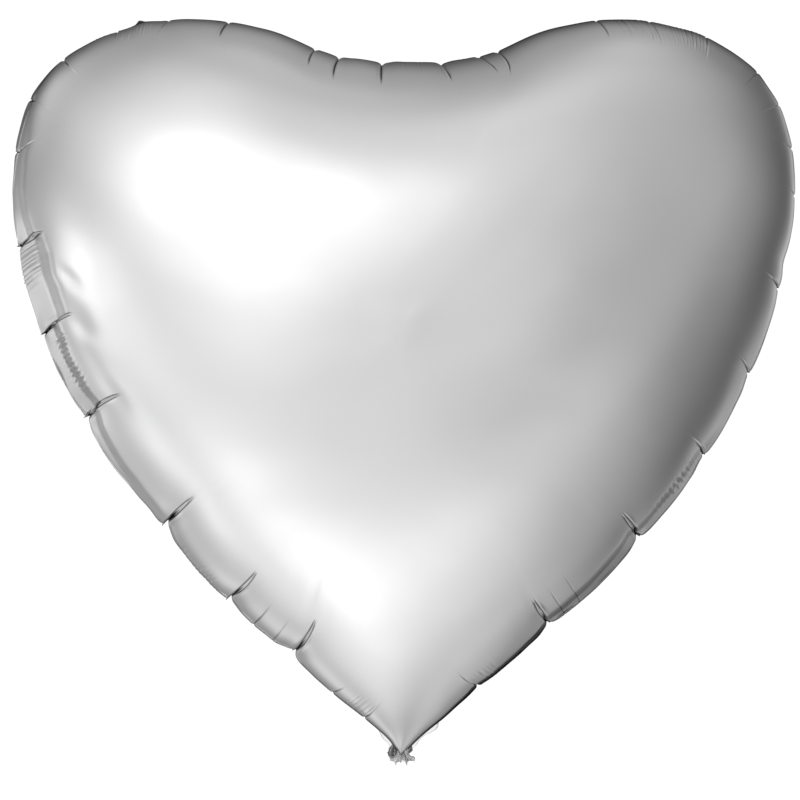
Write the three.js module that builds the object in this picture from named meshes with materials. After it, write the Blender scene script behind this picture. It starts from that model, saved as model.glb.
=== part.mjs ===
// Heart-shaped foil balloon, inflated. Millimetres, +Z up, front towards -Y.
// The origin is the tie point in the narrow of the neck, just under the heart's tip.
//
// Two sheets of metallised film are sealed face to face round a flat flange and blown out to two
// domes. A flat valve tube of clear film runs up through the neck into the gas space. Below the
// neck the two sheets go on as the tail, which is creased and folded up behind the back dome.
// The film itself is far thinner than the walls here, which are thick enough to be solids.
import * as THREE from 'three';

// ---- driving dimensions -------------------------------------------------------------------
const WIDTH = 390; // over both lobes, flange included
const TIP_Z = 1.5; // the heart's lower corner
const DOME = 82; // how far each dome stands out from its flange
const WALL = 0.6; // thickness of a foil panel
const GAP = 0.3; // clear space between the two panels at the seam
const FLANGE = 3.3; // width of the heat-sealed seam

const NECK_HALF = 3.0; // half width of the neck at the tie point
const NECK_FOOT_HALF = 8.0; // half width where the neck spreads out again
const NECK_FOOT_Z = -2.7; // lower end of the neck
const NECK_SPREAD = 0.9; // how far each sheet moves out there to let the valve pass

const FILM = 0.3; // thickness of one valve ply
const VALVE_HALF = 12.5; // half width of the flat valve tube
const VALVE_TOP_Z = 115; // its open end, in the gas space
const VALVE_FOOT_Z = -2.4;

const TAIL_LENGTH = 66; // from the crease to the open end
const TAIL_HALF = 15; // half width of the flat part
const TAIL_FOOT_HALF = 8.5; // half width at the crease, where it is gathered
const TAIL_WALL = 0.5;
const TAIL_CREASE = [2.3, -4.0]; // Y and Z of the crease, the axis that the tail folds about
const TAIL_LEAN = 42; // degrees from straight up, towards the back, as folded
const PLEAT = 0.5; // height of the gathers above the crease
const SLEEVE_HALF = 11; // half width of the valve tube inside the tail
const SLEEVE_END = 61;

const AROUND = 78; // points round the outline, besides the neck's
const RINGS = 11; // rings from the middle of a dome to its seam

// One half of the heart's outline as cut, from the notch down to the tip: X, and Z above the tip.
const HALF_OUTLINE = [
  [0, 343.9], [14.1, 344.1], [28.8, 345.9], [45.6, 350.6], [66.2, 358.4], [88.7, 363.8],
  [112.5, 365.2], [136.1, 361.4], [158.1, 352.6], [176.4, 338.7], [188.8, 319.3], [194.4, 296.8],
  [195.0, 273.5], [192.2, 250.9], [187.4, 229.9], [181.2, 210.2], [174.1, 191.9], [165.9, 175.0],
  [156.9, 159.2], [147.3, 144.7], [137.4, 130.8], [126.9, 118.1], [116.4, 105.7], [105.8, 93.5],
  [94.2, 81.2], [81.4, 69.4], [67.9, 57.8], [53.6, 45.4], [37.9, 32.0], [20.3, 17.1], [0, 0],
];

// ---- outline and seam line ----------------------------------------------------------------
const halfCurve = new THREE.CatmullRomCurve3(
  HALF_OUTLINE.map(([x, z]) => new THREE.Vector3(x, 0, z)), false, 'centripetal');
const scale = WIDTH / (2 * Math.max(...halfCurve.getPoints(900).map((p) => p.x)));
const half = HALF_OUTLINE.map(([x, z]) => new THREE.Vector3(x * scale, 0, TIP_Z + z * scale));
const mirrored = half.slice(1).reverse().map((p) => new THREE.Vector3(-p.x, 0, p.z));
// from the tip up the left side, over the notch and down the right side to the tip again
const curve = new THREE.CatmullRomCurve3([...mirrored, ...half], false, 'centripetal');
const spaced = curve.getSpacedPoints(AROUND);
for (let i = 0; i <= AROUND / 2; i++) {
  // exactly the same on both sides
  const [a, b] = [spaced[i], spaced[AROUND - i]];
  const [x, z] = [(b.x - a.x) / 2, (a.z + b.z) / 2];
  a.set(-x, 0, z);
  b.set(x, 0, z);
}
const sides = spaced.slice(1, AROUND).filter((p) => Math.abs(p.x) > NECK_HALF + 3 || p.z > 100);

// the outline goes on round the neck, so the ring of points is closed there
const slope = half[half.length - 2].x / (half[half.length - 2].z - TIP_Z);
const shoulderZ = TIP_Z + NECK_HALF / slope;
const neck = [
  [NECK_HALF, shoulderZ], [NECK_HALF, 0], [NECK_FOOT_HALF, NECK_FOOT_Z], [0, NECK_FOOT_Z],
  [-NECK_FOOT_HALF, NECK_FOOT_Z], [-NECK_HALF, 0], [-NECK_HALF, shoulderZ],
];
const edge = [...sides.map((p) => [p.x, p.z]), ...neck]; // clockwise, seen from the front

// The seam line runs one flange width inside the outline.
const centre = [0, TIP_Z + 210 * scale];
const tipSin = Math.sin(Math.atan(slope));
const seamTip = TIP_Z + FLANGE / tipSin;
const seam = sides.map((p, i) => {
  const a = sides[Math.max(i - 1, 0)];
  const b = sides[Math.min(i + 1, sides.length - 1)];
  const [dx, dz] = [b.x - a.x, b.z - a.z];
  const l = Math.hypot(dx, dz);
  return [p.x + (FLANGE * dz) / l, p.z - (FLANGE * dx) / l];
});
const firstSeamX = seam[seam.length - 1][0];
for (const k of [0.75, 0.5, 0.25, 0, -0.25, -0.5, -0.75]) {
  seam.push([k * firstSeamX, seamTip + (Math.abs(k) * firstSeamX) / slope]);
}
const COUNT = edge.length;

// ---- dome height --------------------------------------------------------------------------
// Flat mesh of rings from the centre to the seam line. Its height comes from Poisson's equation
// on it, as a film under pressure has, sharpened to the steep edge and flat middle of a balloon
// made of film that can't stretch.
const flat = [[...centre]];
for (let j = 1; j <= RINGS; j++) {
  const t = 1 - (1 - j / RINGS) ** 1.7;
  for (const [x, z] of seam) {
    flat.push([centre[0] + t * (x - centre[0]), centre[1] + t * (z - centre[1])]);
  }
}
const at = (j, i) => (j === 0 ? 0 : 1 + (j - 1) * COUNT + ((i + COUNT) % COUNT));
const cells = [];
for (let i = 0; i < COUNT; i++) {
  cells.push([0, at(1, i), at(1, i + 1)]);
  for (let j = 1; j < RINGS; j++) {
    cells.push([at(j, i), at(j + 1, i), at(j + 1, i + 1)], [at(j, i), at(j + 1, i + 1), at(j, i + 1)]);
  }
}

function membrane() {
  const n = flat.length;
  const free = 1 + (RINGS - 1) * COUNT;
  const rows = Array.from({ length: n }, () => new Map());
  const load = new Float64Array(n);
  for (const t of cells) {
    const [p, q, r] = t.map((k) => flat[k]);
    const b = [q[1] - r[1], r[1] - p[1], p[1] - q[1]];
    const c = [r[0] - q[0], p[0] - r[0], q[0] - p[0]];
    const area = Math.abs(b[0] * c[1] - b[1] * c[0]) / 2;
    for (let u = 0; u < 3; u++) {
      load[t[u]] += area / 3;
      for (let v = 0; v < 3; v++) {
        const k = (b[u] * b[v] + c[u] * c[v]) / (4 * area);
        rows[t[u]].set(t[v], (rows[t[u]].get(t[v]) ?? 0) + k);
      }
    }
  }
  const times = (x) => {
    const y = new Float64Array(n);
    for (let i = 0; i < free; i++) for (const [k, a] of rows[i]) if (k < free) y[i] += a * x[k];
    return y;
  };
  const dot = (x, y) => x.reduce((s, v, i) => s + v * y[i], 0);
  const u = new Float64Array(n);
  const r = load.slice();
  r.fill(0, free);
  let p = r.slice();
  let rr = dot(r, r);
  const stop = rr * 1e-20;
  for (let k = 0; k < 4000 && rr > stop; k++) {
    const ap = times(p);
    const step = rr / dot(p, ap);
    for (let i = 0; i < free; i++) {
      u[i] += step * p[i];
      r[i] -= step * ap[i];
    }
    const next = dot(r, r);
    p = r.map((v, i) => v + (next / rr) * p[i]);
    rr = next;
  }
  return u;
}
const sag = membrane();
const most = Math.max(...sag);
const height = Array.from(sag, (u) => {
  const v = u / most;
  return DOME * Math.sqrt(v) * (1 + 0.32 * (1 - v) - 0.155 * (1 - v) ** 2);
});

// ---- small tools --------------------------------------------------------------------------
const smooth = (a, b, x) => {
  const t = Math.min(1, Math.max(0, (x - a) / (b - a)));
  return t * t * (3 - 2 * t);
};
// how far a sheet stands off for the valve, near the neck
const spread = (x, z) => NECK_SPREAD * smooth(13, 8.5, Math.abs(x)) * smooth(30, 20, z);

function solid(name, points, triangles, material) {
  const g = new THREE.BufferGeometry();
  g.setAttribute('position', new THREE.Float32BufferAttribute(points.flat(), 3));
  g.setIndex(triangles.flat());
  g.computeVertexNormals();
  const mesh = new THREE.Mesh(g, material);
  mesh.name = name;
  return mesh;
}

// ---- the two foil panels ------------------------------------------------------------------
// side is -1 for the front panel and 1 for the back one
function panel(name, side, material) {
  const face = GAP / 2 + WALL;
  const outer = flat.map(([x, z], k) => new THREE.Vector3(x, face + height[k] + spread(x, z), z));
  const normals = outer.map(() => new THREE.Vector3());
  for (const [a, b, c] of cells) {
    const n = new THREE.Vector3()
      .subVectors(outer[b], outer[a])
      .cross(new THREE.Vector3().subVectors(outer[c], outer[a]));
    if (n.y < 0) n.negate();
    for (const k of [a, b, c]) normals[k].add(n);
  }
  const points = [];
  const triangles = [];
  const put = (x, y, z) => points.push([x, side * y, z]) - 1;
  const tri = (a, b, c) => triangles.push(side > 0 ? [a, b, c] : [a, c, b]);
  const quad = (a, b, c, d) => {
    tri(a, b, c);
    tri(a, c, d);
  };

  const out = outer.map((p) => put(p.x, p.y, p.z));
  const inn = outer.map((p, k) => {
    if (k >= at(RINGS, 0)) {
      // at the seam the wall is measured across, in the plane of the flange
      const i = k - at(RINGS, 0);
      const [ax, az] = seam[(i + COUNT - 1) % COUNT];
      const [bx, bz] = seam[(i + 1) % COUNT];
      const l = Math.hypot(bx - ax, bz - az);
      const [x, z] = [p.x + (WALL * (bz - az)) / l, p.z - (WALL * (bx - ax)) / l];
      return put(x, GAP / 2 + spread(p.x, p.z), z);
    }
    const n = normals[k].normalize();
    return put(p.x - WALL * n.x, p.y - WALL * n.y, p.z - WALL * n.z);
  });
  const rimOut = edge.map(([x, z]) => put(x, face + spread(x, z), z));
  const rimIn = edge.map(([x, z]) => put(x, GAP / 2 + spread(x, z), z));

  for (const [a, b, c] of cells) {
    tri(out[a], out[b], out[c]);
    tri(inn[a], inn[c], inn[b]);
  }
  for (let i = 0; i < COUNT; i++) {
    const k = (i + 1) % COUNT;
    const [s, t] = [at(RINGS, i), at(RINGS, k)];
    quad(out[s], rimOut[i], rimOut[k], out[t]);
    quad(rimOut[i], rimIn[i], rimIn[k], rimOut[k]);
    quad(rimIn[i], inn[s], inn[t], rimIn[k]);
  }
  return solid(name, points, triangles, material);
}

// ---- strips of film -----------------------------------------------------------------------
// A strip is swept along s. place(s, u, n) gives the point at distance s, at u from -1 to 1
// across it and n off its middle surface.
function strip(name, stations, across, thick, place, material) {
  const points = [];
  const triangles = [];
  const id = [];
  for (const n of [thick / 2, -thick / 2]) {
    id.push(
      stations.map((s) =>
        Array.from({ length: across + 1 }, (_, k) => points.push(place(s, (2 * k) / across - 1, n)) - 1),
      ),
    );
  }
  const [a, b] = id;
  const last = stations.length - 1;
  const quad = (p, q, r, s) => triangles.push([p, q, r], [p, r, s]);
  for (let i = 0; i < last; i++) {
    for (let k = 0; k < across; k++) {
      quad(a[i][k], a[i][k + 1], a[i + 1][k + 1], a[i + 1][k]);
      quad(b[i][k], b[i + 1][k], b[i + 1][k + 1], b[i][k + 1]);
    }
    quad(a[i][0], a[i + 1][0], b[i + 1][0], b[i][0]);
    quad(a[i][across], b[i][across], b[i + 1][across], a[i + 1][across]);
  }
  for (let k = 0; k < across; k++) {
    quad(a[0][k], b[0][k], b[0][k + 1], a[0][k + 1]);
    quad(a[last][k], a[last][k + 1], b[last][k + 1], b[last][k]);
  }
  return solid(name, points, triangles, material);
}

// The valve tube is gathered in the neck and full width above it.
const valveHalf = (z) => (z < 9 ? 2.4 : Math.min(VALVE_HALF, 2.4 + (z - 9) * 0.8));
function valvePly(name, side, material) {
  const stations = [VALVE_FOOT_Z, 2, 6, 9, 13, 17, 21.7, 32, 45, 65, 90, VALVE_TOP_Z];
  const y = side * (GAP / 2 + FILM / 2);
  return strip(name, stations, 6, FILM, (s, u, n) => [u * valveHalf(s), y - n, s], material);
}

// The tail leaves the crease straight, up behind the back dome.
const lean = THREE.MathUtils.degToRad(TAIL_LEAN);
const along = [Math.sin(lean), Math.cos(lean)]; // Y and Z
const outward = [Math.cos(lean), -Math.sin(lean)];
function tailStrip(name, offset, thick, from, to, halfWidth, material) {
  const stations = [from, 2, 4, 6, 8.5, 11, 14, 17.5, 21, 25, 30, 40, 52].filter((s) => s >= from && s < to - 2);
  if (to > 63) stations.push(to - 2.5);
  stations.push(to);
  const place = (s, u, n) => {
    const corner = to > 63 ? 2.0 * smooth(to - 3, to, s) : 0;
    const x = u * (halfWidth(s) - corner);
    const gather = PLEAT * smooth(1, 5, s) * smooth(25, 11, s) * Math.cos((3 * Math.PI * x) / tailHalf(s));
    const d = offset - n + gather;
    return [
      x,
      TAIL_CREASE[0] + s * along[0] + d * outward[0],
      TAIL_CREASE[1] + s * along[1] + d * outward[1],
    ];
  };
  return strip(name, stations, 12, thick, place, material);
}
const tailHalf = (s) => TAIL_FOOT_HALF + (TAIL_HALF - TAIL_FOOT_HALF) * smooth(0, 28, s);
const sleeveHalf = (s) => 6.5 + (SLEEVE_HALF - 6.5) * smooth(0, 28, s);

// ---- materials and assembly ---------------------------------------------------------------
const foil = (color) => new THREE.MeshStandardMaterial({ color, roughness: 0.3, metalness: 1 });
const film = (color) =>
  new THREE.MeshStandardMaterial({ color, roughness: 0.35, metalness: 0, transparent: true, opacity: 0.4 });

const group = new THREE.Group();
group.add(
  panel('front_foil_panel', -1, foil(0xc9cbce)),
  panel('back_foil_panel', 1, foil(0xc2c4c7)),
  valvePly('valve_front_film', -1, film(0xe9eef1)),
  valvePly('valve_back_film', 1, film(0xe4eaee)),
  tailStrip('tail_front_ply', 0.8, TAIL_WALL, -0.5, TAIL_LENGTH, tailHalf, foil(0xc6c8cb)),
  tailStrip('tail_back_ply', -0.8, TAIL_WALL, -0.5, TAIL_LENGTH, tailHalf, foil(0xbfc1c4)),
  tailStrip('valve_inlet_sleeve', 0, 0.4, 0.2, SLEEVE_END, sleeveHalf, film(0xe6ecef)),
);

export default group;
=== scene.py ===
import bpy
import math
import numpy as np
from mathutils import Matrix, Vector


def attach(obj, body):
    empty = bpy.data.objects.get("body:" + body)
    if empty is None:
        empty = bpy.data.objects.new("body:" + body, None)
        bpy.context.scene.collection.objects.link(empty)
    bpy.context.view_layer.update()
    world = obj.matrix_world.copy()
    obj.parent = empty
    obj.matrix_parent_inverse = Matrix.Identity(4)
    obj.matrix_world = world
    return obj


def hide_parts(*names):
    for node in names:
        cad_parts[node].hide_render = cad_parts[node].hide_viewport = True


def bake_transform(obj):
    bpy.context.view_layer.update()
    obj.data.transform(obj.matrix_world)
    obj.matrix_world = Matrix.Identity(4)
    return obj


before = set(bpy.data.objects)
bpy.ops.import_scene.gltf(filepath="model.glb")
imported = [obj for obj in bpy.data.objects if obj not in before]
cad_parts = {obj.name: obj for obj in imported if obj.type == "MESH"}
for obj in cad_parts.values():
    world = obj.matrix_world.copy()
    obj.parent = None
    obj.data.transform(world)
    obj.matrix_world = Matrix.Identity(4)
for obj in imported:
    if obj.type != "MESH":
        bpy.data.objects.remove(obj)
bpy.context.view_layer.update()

MM = 0.001

# ------------------------------------------------------------------------------------------
# Shape data, in millimetres, in the plane of the seam. X right, Z up, from the tie point.
# ------------------------------------------------------------------------------------------
CENTRE_Z = 211.56  # the middle that radii are measured from
TIP_Z = 1.5
DOME = 82.0
# The outline's radius about that middle, every 2 degrees from -84 (just right of the tip),
# over the right lobe, the notch and the left lobe, to 264 (just left of the tip).
OUTLINE = [
    194.4, 189.7, 185.6, 181.6, 179.1, 176.4, 173.8, 171.4, 169.0, 166.9, 164.2, 163.5, 162.8,
    162.1, 161.4, 160.8, 160.1, 159.5, 158.9, 158.4, 157.8, 156.9, 157.6, 158.2, 158.6, 159.2,
    159.8, 160.4, 160.9, 161.5, 161.8, 163.3, 164.9, 166.3, 167.6, 168.9, 170.3, 171.8, 173.0,
    175.3, 177.5, 179.6, 181.7, 183.9, 186.1, 188.1, 190.6, 192.3, 195.9, 199.3, 202.4, 205.1,
    207.8, 210.3, 212.8, 214.8, 216.4, 217.9, 218.5, 218.4, 218.3, 216.9, 214.9, 212.6, 210.2,
    207.1, 203.2, 199.5, 195.7, 191.4, 186.8, 182.2, 177.1, 172.0, 167.1, 161.8, 156.1, 150.6,
    146.2, 142.8, 140.3, 138.3, 136.7, 134.9, 134.4, 134.0, 133.8, 133.8, 134.0, 133.8, 134.8,
    136.2, 137.6, 139.1, 141.8, 144.9, 148.8, 153.5, 158.6, 163.6, 168.2, 173.1, 177.8, 182.4,
    187.0, 191.5, 195.6, 200.7, 203.4, 206.8, 210.2, 212.9, 215.5, 217.6, 218.7, 219.2, 219.3,
    218.2, 216.4, 214.6, 212.5, 209.8, 207.6, 204.9, 202.3, 199.3, 196.5, 194.0, 191.6, 188.7,
    185.9, 183.4, 181.6, 178.9, 176.6, 174.6, 172.4, 170.3, 168.3, 166.1, 164.4, 163.8, 162.8,
    161.8, 160.7, 159.6, 158.2, 157.0, 156.3, 155.4, 155.0, 155.1, 154.3, 155.5, 156.2, 156.7,
    157.5, 158.2, 158.9, 159.8, 160.5, 161.2, 162.9, 164.4, 165.8, 167.1, 168.5, 169.1, 173.1,
    176.3, 179.6, 182.9, 186.5, 190.1, 194.1,
]
PHI = [-90.0, -88.0, -86.0] + [-84.0 + 2 * i for i in range(len(OUTLINE))] + [266.0, 268.0, 270.0]
RAD = [210.06, 204.2, 198.9] + OUTLINE + [198.9, 204.2, 210.06]

# Creases at the seam: outer end, inner end, depth, width of the rounded corners beside it,
# how far the next stretch of rim is set back, and how far the folded film sticks out.
CREASES = [
    # top left lobe
    (-87.5, 364.9, -92.4, 355.9, 1.3, 1.7, 0.0, 0.0),
    (-117.3, 365.4, -119.8, 360.4, 0.7, 1.3, 0.0, 0.0),
    (-142.2, 359.9, -142.7, 355.4, 0.8, 1.4, 0.3, 0.4),
    (-170.1, 346.5, -165.6, 342.0, 1.2, 1.7, 0.3, 0.0),
    (-186.5, 327.0, -182.5, 324.6, 1.3, 1.8, 0.0, 0.3),
    (-194.5, 301.2, -186.0, 303.6, 1.5, 1.9, 0.3, 0.4),
    # left side, the long ones
    (-192.0, 252.9, -179.0, 261.3, 2.3, 2.3, 0.5, 1.3),
    (-182.0, 209.1, -165.6, 222.5, 2.6, 2.6, 0.6, 1.6),
    (-160.6, 167.3, -143.2, 181.2, 2.8, 2.8, 0.8, 1.8),
    (-121.8, 113.0, -104.9, 128.4, 3.0, 3.2, 1.4, 2.2),
    (-88.5, 76.2, -72.0, 90.1, 2.7, 2.8, 1.0, 1.8),
    (-74.5, 65.2, -64.1, 76.2, 0.7, 1.1, 0.0, 0.0),
    (-64.6, 58.2, -55.1, 69.2, 0.3, 1.0, 0.0, 0.0),
    (-55.1, 52.8, -41.2, 64.7, 2.6, 3.4, 0.8, 0.6),
    (-35.2, 31.4, -29.2, 34.4, 0.8, 1.4, 0.0, 0.0),
    (-19.3, 19.9, -13.3, 23.9, 0.9, 1.4, 0.0, 0.0),
    # notch
    (-43.7, 350.9, -48.1, 342.0, 1.4, 1.8, 0.3, 0.0),
    (-31.7, 347.5, -36.2, 335.0, 1.85, 2.0, 0.7, 0.0),
    (-10.8, 344.0, -11.3, 332.0, 1.9, 2.2, 0.0, 0.0),
    (18.1, 344.5, 25.0, 333.5, 1.85, 2.1, 0.7, 0.0),
    (37.0, 347.5, 47.4, 338.0, 1.6, 1.8, 0.3, 0.0),
    (45.9, 348.9, 56.9, 339.0, 1.7, 1.9, 0.4, 0.0),
    # top right lobe
    (95.7, 364.9, 103.7, 355.9, 0.9, 1.4, 0.0, 0.0),
    (122.1, 364.4, 126.6, 356.9, 0.7, 1.3, 0.0, 0.0),
    (150.0, 356.9, 150.5, 351.9, 0.9, 1.4, 0.0, 0.3),
    (175.4, 339.0, 172.9, 336.5, 0.7, 1.3, 0.0, 0.0),
    (186.8, 323.6, 183.8, 322.1, 0.7, 1.3, 0.0, 0.0),
    (193.8, 302.2, 188.8, 303.6, 1.0, 1.5, 0.2, 0.0),
    (194.8, 278.8, 190.3, 281.7, 0.9, 1.5, 0.2, 0.0),
    # right side
    (187.3, 232.5, 181.8, 237.9, 1.5, 1.9, 0.4, 0.5),
    (171.9, 190.2, 165.9, 199.1, 1.6, 2.0, 0.4, 0.4),
    (149.0, 149.8, 142.5, 158.8, 1.8, 2.2, 0.5, 0.5),
    (116.6, 109.0, 109.2, 120.0, 2.4, 2.6, 0.8, 0.4),
    (84.3, 82.1, 77.8, 91.6, 0.25, 0.9, 0.0, 0.0),
    (78.3, 73.7, 70.8, 84.1, 0.3, 0.9, 0.0, 0.0),
    (71.8, 66.7, 64.4, 77.2, 2.4, 2.6, 0.7, 0.3),
    (37.0, 33.9, 33.0, 36.7, 1.8, 1.5, 0.3, 0.0),
]
# Clusters of fine ripples that run across the rim: middle, half length along the rim,
# nearest and furthest depth from the seam, height, spacing.
RIPPLES = [
    (-183.5, 241.5, 11.5, -1.0, 9.5, 0.40, 2.3),
    (-165.0, 198.0, 19.0, 4.0, 9.0, 0.10, 2.9),
    (-130.8, 359.0, 12.0, 1.0, 8.0, 0.20, 1.9),
    (-150.0, 357.0, 6.0, 0.0, 3.0, 0.20, 1.9),
    (-23.5, 26.0, 7.0, 1.5, 8.0, 0.22, 2.5),
    (113.0, 363.4, 11.0, 0.5, 9.0, 0.36, 2.2),
    (139.5, 359.2, 11.0, 0.5, 8.0, 0.32, 2.0),
    (138.0, 140.0, 9.0, 1.0, 8.0, 0.14, 2.1),
    (-102.0, 92.0, 14.0, 0.0, 3.5, 0.20, 2.6),
    (42.5, 39.5, 7.0, 0.5, 6.0, 0.18, 2.4),
    (5.0, 344.0, 8.0, 0.5, 5.0, 0.12, 1.8),
]


def spline(xk, yk):
    """Natural cubic spline through the points. yk may hold several curves, one a column."""
    xk, yk = np.asarray(xk, float), np.asarray(yk, float)
    one = yk.ndim == 1
    y = yk[:, None] if one else yk
    n, h = len(xk), np.diff(xk)
    a = np.zeros((n, n))
    b = np.zeros((n, y.shape[1]))
    a[0, 0] = a[-1, -1] = 1.0
    i = np.arange(1, n - 1)
    a[i, i - 1], a[i, i], a[i, i + 1] = h[:-1], 2 * (h[:-1] + h[1:]), h[1:]
    b[1:-1] = 6 * (np.diff(y[1:], axis=0) / h[1:, None] - np.diff(y[:-1], axis=0) / h[:-1, None])
    m = np.linalg.solve(a, b)

    def at(x, column=None):
        x = np.asarray(x, float)
        k = np.clip(np.searchsorted(xk, x) - 1, 0, n - 2)
        hh = h[k]
        u, v = (xk[k + 1] - x), (x - xk[k])
        c = 0 if column is None else column
        y0, y1, m0, m1 = y[k, c], y[k + 1, c], m[k, c], m[k + 1, c]
        return (m0 * u**3 + m1 * v**3) / (6 * hh) + (y0 / hh - m0 * hh / 6) * u + (
            y1 / hh - m1 * hh / 6
        ) * v

    return at


def smooth(a, b, x):
    t = np.clip((x - a) / (b - a), 0, 1)
    return t * t * (3 - 2 * t)


radius_at = spline(PHI, RAD)


def cos_lean(phi):
    """The cosine of the angle between a ray and the outline's normal."""
    e = 0.05
    lo, hi = np.clip(phi - e, -90, 270), np.clip(phi + e, -90, 270)
    slope = (radius_at(hi) - radius_at(lo)) / np.radians(hi - lo)
    return 1 / np.sqrt(1 + (slope / radius_at(phi)) ** 2)


# The heat-sealed flange curls back: how wide it is, and how much of it shows from the front.
FLANGE_WIDE = [(-90, 4.0), (270, 4.0)]
FLANGE_PHI = [-90, -80, -66, -63, -58, -50, -44, -41, -20, 0, 20, 50, 90, 130, 143, 149, 154, 158, 163,
              168, 172, 180, 190, 196, 207, 211, 222, 226, 242, 246, 258, 270]
FLANGE_SHOWS = [0.7, 1.1, 1.2, 1.0, 0.8, 0.8, 0.8, 0.8, 0.8, 0.9, 0.8, 0.8, 0.8, 0.8, 1.0, 2.3, 2.1, 0.9, 0.4,
                0.3, 0.3, 0.3, 0.3, 0.35, 0.5, 0.7, 1.4, 1.1, 1.3, 0.9, 0.8, 0.7]
# how dark the heat seal is painted there: partly its own duller tone, partly painted shade
FLANGE_SEAL_AND_SHADE = [(-90, 0.7), (-80, 1.0), (-40, 1.0), (-30, 0.7), (0, 0.6), (90, 0.6), (150, 0.7), (158, 0.4),
               (164, 0.0), (205, 0.0), (218, 0.5), (258, 0.6), (270, 0.7)]


# painted shadow: where the seam is folded hard, a black line is painted along it
FLANGE_PAINTED_SHADOW = [(-90, 0.5), (-86, 0.75), (-79, 0.85), (-78, 0.75), (-66, 0.8), (-63.7, 0.5), (-63, 0.0), (246, 0.0), (256, 0.2),
                (263, 0.35), (270, 0.45)]
# painted shade on the film beside the rim over the tops of the lobes
RIM_PAINTED_SHADE = [(-90, 0.0), (30, 0.0), (36, 0.85), (45, 1.0), (62, 0.95), (72, 0.95), (82, 0.85), (100, 0.75), (112, 0.8), (140, 0.75),
            (150, 0.5), (155, 0.1), (160, 0.0), (270, 0.0)]
# how far in from the seam the painted shadow line reaches
PAINTED_SHADOW_WIDE = [(-90, 0.0), (-86, 0.3), (-79, 0.9), (-78, 0.9), (-66, 1.5), (-62, 0.4), (256, 0.1), (270, 0.1)]


def flange_at(phi):
    return np.interp(phi, FLANGE_PHI, FLANGE_SHOWS)


def seam_radius(phi):
    return radius_at(phi) - flange_at(phi) / cos_lean(phi)


def polar(x, z):
    p = math.degrees(math.atan2(z - CENTRE_Z, x))
    return p if p > -90 else p + 360


# arc length along the outline
_fine = np.linspace(-90, 270, 14401)
_r = radius_at(_fine)
_px, _pz = _r * np.cos(np.radians(_fine)), CENTRE_Z + _r * np.sin(np.radians(_fine))
_arc = np.concatenate([[0], np.cumsum(np.hypot(np.diff(_px), np.diff(_pz)))])


def arc_at(phi):
    return np.interp(phi, _fine, _arc)


def phi_of(arc):
    return np.interp(arc, _arc, _fine)


# ------------------------------------------------------------------------------------------
# Height of a dome over the plane of the seam: Poisson's equation on a mesh of rings, then
# sharpened to the steep edge and flat middle of a balloon made of film that can't stretch.
# ------------------------------------------------------------------------------------------
def solve_dome():
    cols, rings = 360, 34
    phi = np.linspace(-90, 270, cols + 1)[:-1]
    rs = seam_radius(phi)
    t = 1 - (1 - np.arange(rings + 1) / rings) ** 1.6
    x = [np.zeros(1)] + [t[j] * rs * np.cos(np.radians(phi)) for j in range(1, rings + 1)]
    z = [np.zeros(1)] + [t[j] * rs * np.sin(np.radians(phi)) for j in range(1, rings + 1)]
    x, z = np.concatenate(x), np.concatenate(z)

    def at(j, i):
        return np.where(j == 0, 0, 1 + (j - 1) * cols + i % cols)

    i = np.arange(cols)
    tri = [np.stack([np.zeros(cols, int), at(1, i), at(1, i + 1)], 1)]
    for j in range(1, rings):
        a, b, c, d = at(j, i), at(j + 1, i), at(j + 1, i + 1), at(j, i + 1)
        tri += [np.stack([a, b, c], 1), np.stack([a, c, d], 1)]
    tri = np.concatenate(tri)
    p = np.stack([x, z], 1)[tri]
    b = np.stack([p[:, 1, 1] - p[:, 2, 1], p[:, 2, 1] - p[:, 0, 1], p[:, 0, 1] - p[:, 1, 1]], 1)
    c = np.stack([p[:, 2, 0] - p[:, 1, 0], p[:, 0, 0] - p[:, 2, 0], p[:, 1, 0] - p[:, 0, 0]], 1)
    area = np.abs(b[:, 0] * c[:, 1] - b[:, 1] * c[:, 0]) / 2
    n = len(x)
    load = np.bincount(tri.ravel(), np.repeat(area / 3, 3), n)
    rows, colsx, vals = [], [], []
    for u in range(3):
        for v in range(3):
            rows.append(tri[:, u])
            colsx.append(tri[:, v])
            vals.append((b[:, u] * b[:, v] + c[:, u] * c[:, v]) / (4 * area))
    rows, colsx, vals = map(np.concatenate, (rows, colsx, vals))
    free = 1 + (rings - 1) * cols
    keep = (rows < free) & (colsx < free)
    rows, colsx, vals = rows[keep], colsx[keep], vals[keep]
    diag = np.bincount(rows[rows == colsx], vals[rows == colsx], free)

    def times(w):
        return np.bincount(rows, vals * w[colsx], free)

    u, r = np.zeros(free), load[:free].copy()
    zz = r / diag
    q, rz = zz.copy(), r @ zz
    stop = rz * 1e-18
    for _ in range(3000):
        aq = times(q)
        s = rz / (q @ aq)
        u += s * q
        r -= s * aq
        zz = r / diag
        nxt = r @ zz
        if nxt < stop:
            break
        q = zz + (nxt / rz) * q
        rz = nxt
    u = np.concatenate([u, np.zeros(n - free)]) / u.max()
    v = np.zeros((rings + 1, cols + 1))
    v[0] = u[0]
    for j in range(1, rings):
        row = u[1 + (j - 1) * cols : 1 + j * cols] / (1 - t[j] ** 2)
        v[j, :cols], v[j, cols] = row, row[0]
    # the last ring from the three inside it
    for k in range(cols + 1):
        v[rings, k] = np.polyval(np.polyfit(t[rings - 3 : rings], v[rings - 3 : rings, k], 2), 1.0)
    return t, np.linspace(-90, 270, cols + 1), v


_t, _phi, _v = solve_dome()
_in_t = spline(_t, _v)


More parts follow.
